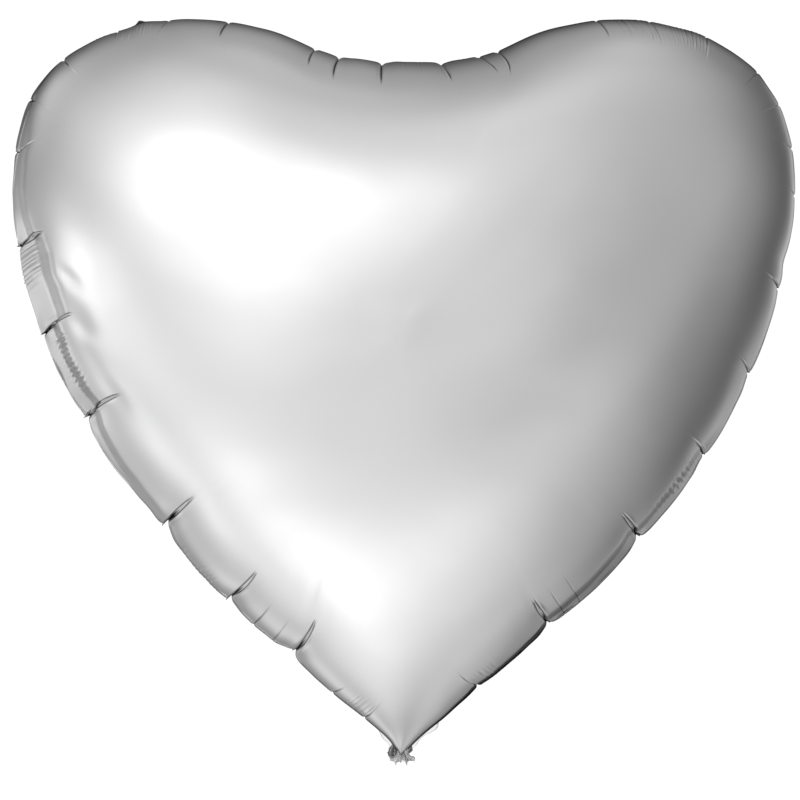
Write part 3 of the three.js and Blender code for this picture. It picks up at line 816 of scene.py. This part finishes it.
def gathered(name, edges, offset, end, cols, seed, crumple, grow=1.0):
    """One ply of the neck and tail as a grid of cols by rows."""
    s0 = PATH_S[0] + (0 if offset else 0.5)
    rows = [s0]
    while rows[-1] < end:
        rows.append(rows[-1] + 0.22 + 0.010 * max(0, rows[-1] - 3) ** 1.15)
    rows[-1] = end
    s = np.array(rows)[:, None]
    u = np.linspace(-1, 1, cols)[None]
    left, right = np.interp(s, edges[0], edges[1]), np.interp(s, edges[0], edges[2])
    # the cut edges aren't quite straight
    g = np.random.default_rng(seed)
    wander = 0.22 * np.sin(s / 2.3 + seed) + 0.14 * np.sin(s / 0.9 + 2 * seed)
    mid, half = (left + right) / 2, (right - left) / 2 * grow
    x = mid + u * half + wander * np.abs(u) ** 3
    path_s = np.broadcast_to(s, x.shape) + (0.9 * np.sin(3.1 * u + seed) + 0.5 * np.sin(9 * u)) * smooth(end - 12, end, s)
    y, z = tail_line(path_s, 0), tail_line(path_s, 1)
    e = 0.02
    ty, tz = (tail_line(path_s + e, 0) - tail_line(path_s - e, 0)), (tail_line(path_s + e, 1) - tail_line(path_s - e, 1))
    length = np.hypot(ty, tz)
    ny, nz = tz / length, -ty / length  # away from the balloon
    # pleats run along s: many and deep at the tie point, easing out up the tail
    fine = smooth(4, 14, s)
    a = 2 * math.pi * (2.1 * u + 0.23 * np.sin(2.3 * u + 0.7)) + 0.25 * np.sin(s / 4.0)
    b = 2 * math.pi * (3.9 * u + 0.3 * np.sin(3.1 * u)) + 0.7 + 0.35 * np.sin(s / 3.1)
    wa, wb = np.cos(a), np.cos(b)
    wave = (wa + 0.18 * np.cos(2 * a + 0.6)) * 0.62 + np.sign(wb) * np.abs(wb) ** 0.85 * 0.36 * fine
    tight = 0.35 * smooth(-11, -7, s) + 0.65 * smooth(-7, -3, s)
    amp = tight * (1.15 * (1 - smooth(2, 34, s)) + 0.24)
    noise = random_wave(seed + 20, 8.0)
    noise2 = random_wave(seed + 40, 13.0)
    flat_p = np.stack([x * 1.0, path_s, np.zeros_like(x)], -1)
    rough = crumple * (
        0.22 * np.abs(noise(flat_p)) * smooth(-8, -4, s) * (1 - 0.3 * smooth(8, 30, s)) + 0.34 * noise2(flat_p) * smooth(4, 16, s)
    )
    lift = offset + amp * wave + rough
    y, z = y + ny * lift, z + nz * lift
    # the fold hangs lower in some places than in others
    hang = np.interp(x, HANG_X, HANG_Z)
    lowest = -4.35
    k = (1.5 - hang) / (1.5 - lowest)
    below = np.clip(1.5 - z, 0, None)
    z = np.where(z < 1.5, 1.5 - below * k, z)
    # the plies spread apart a little sideways where they fan out
    x = x + 0.45 * np.cos(a + 1.2) * smooth(-7, -2, s) * (1 - smooth(6, 14, s))
    nrow, ncol = x.shape
    co = np.stack([x, y, z], -1).reshape(-1, 3) * MM
    i, j = np.meshgrid(np.arange(nrow - 1), np.arange(ncol - 1), indexing="ij")
    q = (i * ncol + j).ravel()
    faces = np.stack([q, q + 1, q + ncol + 1, q + ncol], 1)
    me = bpy.data.meshes.new(name)
    me.from_pydata(co.tolist(), [], faces.tolist())
    me.validate()
    me.polygons.foreach_set("use_smooth", [True] * len(me.polygons))
    # painted shade where the pleats are pinched, and darker along the cut edge
    low = np.clip(-wave - 0.36, 0, 1) * 2.6 * smooth(-9, -5, s) * (1 - smooth(4, 16, s))
    rim = np.clip((np.abs(u) - 0.93) / 0.07, 0, 1) * np.ones_like(x)
    a1 = me.attributes.new("painted_shade_lines", "FLOAT", "POINT")
    a1.data.foreach_set("value", np.clip(low, 0, 0.65).astype(np.float32).ravel())
    # darker along the cut edge and near the tie point
    a2 = me.attributes.new("edge_tone_and_painted_shade", "FLOAT", "POINT")
    a2.data.foreach_set("value", (0.25 * rim + 0.15 * (1 - smooth(3, 12, s)) * np.ones_like(x)).astype(np.float32).ravel())
    # for the clear film: darker and more opaque along the cut edge, and painted shade where the pleats are pinched
    a3 = me.attributes.new("rim", "FLOAT", "POINT")
    a3.data.foreach_set("value", np.maximum(rim, 0.6 * np.clip(low, 0, 1)).astype(np.float32).ravel())
    ob = bpy.data.objects.new(name, me)
    bpy.context.scene.collection.objects.link(ob)
    return ob


def clear_material(name):
    m, nt, bsdf = nodes_of(name)
    new, link = nt.nodes.new, nt.links.new
    coord = new("ShaderNodeTexCoord")
    bsdf.inputs["IOR"].default_value = 1.5
    n1 = new("ShaderNodeTexNoise")
    n1.inputs["Scale"].default_value = 160.0
    n1.inputs["Detail"].default_value = 3.0
    link(coord.outputs["Object"], n1.inputs["Vector"])
    rough = new("ShaderNodeMapRange")
    rough.inputs["To Min"].default_value = 0.10
    rough.inputs["To Max"].default_value = 0.24
    link(n1.outputs["Fac"], rough.inputs["Value"])
    link(rough.outputs["Result"], bsdf.inputs["Roughness"])
    # darker and more opaque along the film's edges, with painted shade where pleats are pinched
    att = new("ShaderNodeAttribute")
    att.attribute_name = "rim"
    tone = new("ShaderNodeMix")
    tone.data_type = "RGBA"
    tone.inputs["A"].default_value = (0.86, 0.875, 0.885, 1)
    tone.inputs["B"].default_value = (0.30, 0.31, 0.32, 1)
    link(att.outputs["Fac"], tone.inputs["Factor"])
    link(tone.outputs["Result"], bsdf.inputs["Base Color"])
    show = new("ShaderNodeMapRange")
    show.inputs["To Min"].default_value = 0.26
    show.inputs["To Max"].default_value = 0.72
    link(att.outputs["Fac"], show.inputs["Value"])
    link(show.outputs["Result"], bsdf.inputs["Alpha"])
    bump = new("ShaderNodeBump")
    bump.inputs["Strength"].default_value = 0.25
    bump.inputs["Distance"].default_value = 0.0004
    link(n1.outputs["Fac"], bump.inputs["Height"])
    link(bump.outputs["Normal"], bsdf.inputs["Normal"])
    return m


clear = clear_material("clear_valve_film")
tail_foil = foil_material("tail_foil", 0.92)
for name, node, edges, offset, end, cols, seed, mat, slot, crumple, grow in (
    ("tail_film_front", "tail_front_ply", FOIL_EDGE, 0.42, 66.0, 181, 3, tail_foil, "silver_foil", 1.0, 1.0),
    ("tail_film_back", "tail_back_ply", FOIL_EDGE, -0.42, 66.0, 181, 4, tail_foil, "silver_foil", 1.0, 0.97),
    ("inlet_film", "valve_inlet_sleeve", INLET_EDGE, 0.0, 61.0, 121, 3, clear, "clear_valve_film", 1.0, 1.0),
):
    ob = gathered(name, edges, offset, end, cols, seed, crumple, grow)
    ob.data.materials.append(mat)
    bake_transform(ob)
    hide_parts(node)


def valve_film(name, side):
    """One ply of the flat valve tube, from the neck up into the gas space."""
    rows = np.concatenate([np.arange(8.0, 22, 0.5), np.arange(22, 115.01, 1.5)])
    rows[-1] = 115.0
    z = rows[:, None]
    u = np.linspace(-1, 1, 49)[None]
    half = np.interp(z, [0, 9, 22, 115], [1.6, 2.4, 12.5, 12.5])
    tight = 1 - smooth(8, 26, z)
    wave = 0.16 * tight * np.cos(2 * math.pi * 1.5 * u + 0.5) + 0.10 * (1 - tight) * np.sin(z / 9.0 + 2.0 * u)
    # heat-sealed to the other ply along both edges
    open_up = (1 - np.abs(u) ** 6) * (0.06 + 0.5 * smooth(60, 115, z))
    x = u * half + 0.12 * np.sin(z / 3.0) * np.abs(u) ** 3
    y = side * (0.08 + open_up) + wave + 0.0 * z
    zz = z + 1.2 * (np.cos(1.7 * u) - 0.5) * smooth(95, 115, z)
    co = np.stack([x, y, zz + 0 * x], -1).reshape(-1, 3) * MM
    nr, nc = x.shape
    i, j = np.meshgrid(np.arange(nr - 1), np.arange(nc - 1), indexing="ij")
    q = (i * nc + j).ravel()
    me = bpy.data.meshes.new(name)
    me.from_pydata(co.tolist(), [], np.stack([q, q + 1, q + nc + 1, q + nc], 1).tolist())
    me.validate()
    me.polygons.foreach_set("use_smooth", [True] * len(me.polygons))
    at = me.attributes.new("rim", "FLOAT", "POINT")
    edge = np.clip((np.abs(u) - 0.86) / 0.06, 0, 1) + 0.5 * smooth(113, 115, z)
    at.data.foreach_set("value", np.clip(edge + 0 * x, 0, 1).astype(np.float32).ravel())
    ob = bpy.data.objects.new(name, me)
    bpy.context.scene.collection.objects.link(ob)
    return ob


for name, node, side, body in (
    ("valve_film_front", "valve_front_film", -1, "valve_flap"),
    ("valve_film_back", "valve_back_film", 1, "balloon"),
):
    ob = valve_film(name, side)
    ob.data.materials.append(clear)
    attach(ob, body)
    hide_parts(node)

# ------------------------------------------------------------------------------------------
# Stage, light and camera
# ------------------------------------------------------------------------------------------
scene = bpy.context.scene


def plane(name, size, z):
    me = bpy.data.meshes.new(name)
    k = 64
    pts = [(size * math.cos(2 * math.pi * i / k), size * math.sin(2 * math.pi * i / k), z) for i in range(k)]
    me.from_pydata(pts, [], [list(range(k))])
    ob = bpy.data.objects.new(name, me)
    scene.collection.objects.link(ob)
    return ob


floor = plane("floor", 3.0, -0.45)
floor.visible_glossy = False
fm, fnt2, fbs = nodes_of("floor_white")
fbs.inputs["Base Color"].default_value = (0.92, 0.92, 0.92, 1)
fbs.inputs["Roughness"].default_value = 0.9
fbs.inputs["Emission Color"].default_value = (1, 1, 1, 1)
fbs.inputs["Emission Strength"].default_value = 0.34
floor.data.materials.append(fm)

# Soft lights round the object: direction, width in degrees, strength. The rest of the studio is
# an even grey.
ROOM = 0.0978
SOFT_LIGHTS = [
    (-0.612, -0.758, -0.225, 40, 0.6513),
    (-0.199, -0.791, 0.579, 13, 0.0523),
    (-0.078, -0.473, -0.878, 24, 0.6604),
    (0.033, -0.085, 0.996, 13, 0.0739),
    (-0.803, 0.242, -0.544, 24, 0.2992),
    (-0.340, -0.849, 0.404, 13, 1.3685),
    (-0.950, -0.278, -0.140, 5, 2.1),
    (0.386, -0.284, 0.878, 24, 0.3866),
    (0.511, -0.801, -0.312, 13, 0.3324),
    (0.463, 0.147, -0.874, 8, 0.1730),
    (-0.515, -0.056, 0.856, 24, 0.1483),
    (-0.452, 0.632, -0.630, 8, 0.7128),
    (-0.783, -0.016, -0.622, 5, 0.5388),
    (-0.420, -0.593, -0.688, 13, 0.6812),
    (-0.868, -0.477, -0.135, 5, 0.5321),
    (-0.156, -0.942, 0.296, 13, 0.5176),
    (0.070, -0.829, -0.554, 13, 0.3999),
    (0.541, -0.460, -0.704, 13, 0.2970),
    (0.805, -0.553, 0.213, 13, 0.2823),
    (0.144, 0.631, -0.762, 13, 0.5295),
    (0.197, 0.665, 0.721, 13, 0.2870),
    (-0.459, 0.044, -0.887, 13, 0.3745),
    (-0.985, -0.066, -0.150, 5, 0.7017),
    (-0.164, -0.479, 0.863, 13, 0.4150),
    (-0.741, 0.414, 0.529, 13, 0.4927),
    (0.160, 0.183, 0.970, 8, 0.3172),
    (-0.841, -0.103, -0.530, 5, 0.6960),
    (-0.798, -0.590, -0.120, 5, 0.6524),
    (-0.764, -0.330, 0.554, 13, 0.2645),
    (0.594, 0.739, -0.318, 8, 0.3963),
    (0.518, 0.041, -0.854, 13, 0.3730),
    (0.461, -0.776, 0.429, 13, 0.1369),
    (0.986, -0.168, -0.004, 13, 0.1770),
    (-0.208, 0.476, 0.854, 13, 0.1288),
    (-0.783, 0.573, -0.242, 8, 0.7791),
    (0.458, 0.464, -0.758, 8, 0.2760),
    (0.000, 0.990, 0.140, 17, 0.3400),
    (0.400, 0.915, 0.000, 8, 0.4800),
    (0.340, 0.910, 0.230, 8, 0.1200),
    (-0.400, 0.910, -0.080, 8, 0.3300),
]
world = bpy.data.worlds.new("studio")
scene.world = world
world.use_nodes = True
wn = world.node_tree
wn.nodes.clear()
wo = wn.nodes.new("ShaderNodeOutputWorld")
mix = wn.nodes.new("ShaderNodeMixShader")
path = wn.nodes.new("ShaderNodeLightPath")
white = wn.nodes.new("ShaderNodeBackground")
white.inputs["Color"].default_value = (1, 1, 1, 1)
white.inputs["Strength"].default_value = 1.05
room = wn.nodes.new("ShaderNodeBackground")
room.inputs["Color"].default_value = (1, 1, 1, 1)
where = wn.nodes.new("ShaderNodeTexCoord")


def world_math(op, a, b=None):
    nd = wn.nodes.new("ShaderNodeMath")
    nd.operation = op
    for k, v in enumerate((a, b)):
        if v is None:
            continue
        if isinstance(v, (int, float)):
            nd.inputs[k].default_value = v
        else:
            wn.links.new(v, nd.inputs[k])
    return nd.outputs[0]


total = None
for dx, dy, dz, width, strength in SOFT_LIGHTS:
    k = 1 / math.radians(width) ** 2
    dot = wn.nodes.new("ShaderNodeVectorMath")
    dot.operation = "DOT_PRODUCT"
    wn.links.new(where.outputs["Generated"], dot.inputs[0])
    dot.inputs[1].default_value = (k * dx, k * dy, k * dz)
    glow = world_math("MULTIPLY", world_math("EXPONENT", world_math("SUBTRACT", dot.outputs["Value"], k)), strength)
    total = world_math("ADD", glow, ROOM if total is None else total)
wn.links.new(total, room.inputs["Strength"])
wn.links.new(path.outputs["Is Camera Ray"], mix.inputs["Fac"])
wn.links.new(room.outputs[0], mix.inputs[1])
wn.links.new(white.outputs[0], mix.inputs[2])
wn.links.new(mix.outputs[0], wo.inputs["Surface"])

cam = bpy.data.cameras.new("camera")
cam.sensor_width = 36
DIST = 2.6
PIX = 0.00049777
cam.lens = 36 * DIST / (800 * PIX)
co = bpy.data.objects.new("camera", cam)
co.location = (-3.7 * PIX, -DIST, (1.5 + (752 - 400) * 0.49777) * MM)
co.rotation_euler = (math.radians(90), 0, 0)
scene.collection.objects.link(co)
scene.camera = co
scene.view_settings.view_transform = "Standard"

print("columns", len(ARC), "rows", len(T), "faces", len(front.data.polygons))
